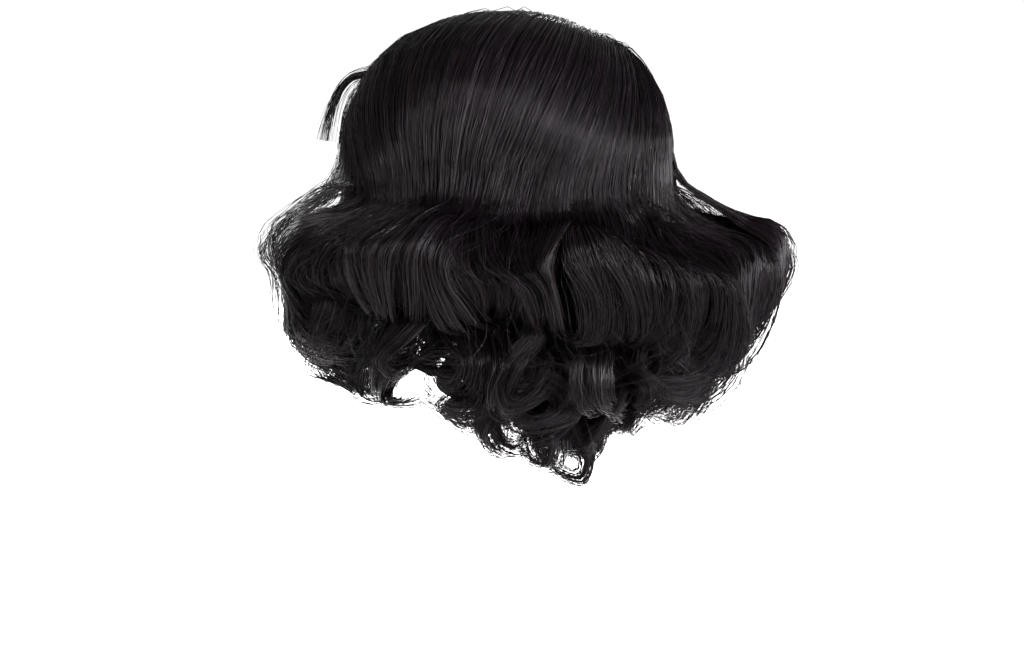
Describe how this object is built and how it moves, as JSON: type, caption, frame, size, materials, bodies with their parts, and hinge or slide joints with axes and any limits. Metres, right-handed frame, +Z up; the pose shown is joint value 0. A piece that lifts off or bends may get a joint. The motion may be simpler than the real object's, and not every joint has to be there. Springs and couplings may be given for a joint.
{
  "type": "costume wig",
  "caption": "Short black curled costume wig: smooth crown, wide rolls round the sides, longer nape curls, on a wefted cap with size adjusters, ear tabs and comb clips.",
  "frame": {"origin": "centre of the head opening, level with the tops of the ears", "axes": "+Z up to the crown, -Y towards the wearer's face, +X towards the wearer's left"},
  "size_m": [0.2998, 0.2686, 0.2765],
  "materials": {
    "hair": "smooth synthetic fibre, a soft sheen",
    "net": "black elastic net",
    "skin": "thin tan base cloth",
    "band": "black woven band",
    "weft": "stitched weft header",
    "lining": "soft brushed lining",
    "steel": "thin plated spring steel",
    "sleeve": "clear-black silicone sleeve",
    "loop": "loop pile tape",
    "hook": "hook tape",
    "strap": "knitted elastic",
    "label": "blank woven label"
  },
  "bodies": {
    "wig": {"crown_net": "net", "parting_skin": "skin", "front_band": "band", "nape_band": "band", "left_side_panel": "net", "right_side_panel": "net", "back_ribbon_1": "net", "back_ribbon_2": "net", "back_ribbon_3": "net", "back_ribbon_4": "net", "back_ribbon_5": "net", "weft_track_1": "weft", "weft_track_2": "weft", "weft_track_3": "weft", "weft_track_4": "weft", "weft_track_5": "weft", "weft_track_6": "weft", "weft_track_7": "weft", "crown_weft_rings": "weft", "left_loop_pad": "loop", "left_strap_casing": "band", "right_loop_pad": "loop", "right_strap_casing": "band", "front_clip_frame": "steel", "front_clip_sleeve": "sleeve", "left_clip_frame": "steel", "left_clip_sleeve": "sleeve", "right_clip_frame": "steel", "right_clip_sleeve": "sleeve", "size_label": "label", "crown_hair_left": "hair", "crown_hair_right": "hair", "crown_hair_back": "hair", "fringe_lock": "hair", "left_front_curl": "hair", "left_side_curl": "hair", "left_back_curl": "hair", "back_left_curl": "hair", "back_right_curl": "hair", "right_back_curl": "hair", "right_side_curl": "hair", "right_front_curl": "hair", "nape_curl_1": "hair", "nape_curl_2": "hair", "nape_curl_3": "hair", "nape_curl_4": "hair"},
    "left_strap": {"left_adjuster_strap": "strap", "left_hook_patch": "hook"},
    "right_strap": {"right_adjuster_strap": "strap", "right_hook_patch": "hook"},
    "left_tab": {"left_ear_tab": "band", "left_tab_lining": "lining", "left_tab_stay": "steel"},
    "right_tab": {"right_ear_tab": "band", "right_tab_lining": "lining", "right_tab_stay": "steel"},
    "front_comb": {"front_clip_comb": "steel"},
    "left_comb": {"left_clip_comb": "steel"},
    "right_comb": {"right_clip_comb": "steel"}
  },
  "joints": [
    {"name": "left_size_adjuster", "type": "hinge", "parent": "wig", "child": "left_strap", "pos_m": [0, 0.015, 0], "axis": [0, 0, 1], "range_deg": [0, 22]},
    {"name": "right_size_adjuster", "type": "hinge", "parent": "wig", "child": "right_strap", "pos_m": [0, 0.015, 0], "axis": [0, 0, -1], "range_deg": [0, 22]},
    {"name": "left_ear_tab_flex", "type": "hinge", "parent": "wig", "child": "left_tab", "pos_m": [0.07441, -0.01061, -0.00229], "axis": [-0.1772, -0.9842, 0], "range_deg": [-10, 15], "stiffness_Nm_per_rad": 0.02},
    {"name": "right_ear_tab_flex", "type": "hinge", "parent": "wig", "child": "right_tab", "pos_m": [-0.07441, -0.01061, -0.00229], "axis": [-0.1772, 0.9842, 0], "range_deg": [-10, 15], "stiffness_Nm_per_rad": 0.02},
    {"name": "front_clip_open", "type": "hinge", "parent": "wig", "child": "front_comb", "pos_m": [0, -0.07846, 0.07071], "axis": [-1, 0, 0], "range_deg": [0, 75]},
    {"name": "left_clip_open", "type": "hinge", "parent": "wig", "child": "left_comb", "pos_m": [0.06494, -0.03419, 0.04202], "axis": [-0.3585, -0.9335, 0], "range_deg": [0, 75]},
    {"name": "right_clip_open", "type": "hinge", "parent": "wig", "child": "right_comb", "pos_m": [-0.06494, -0.03419, 0.04202], "axis": [-0.3585, 0.9335, 0], "range_deg": [0, 75]}
  ]
}
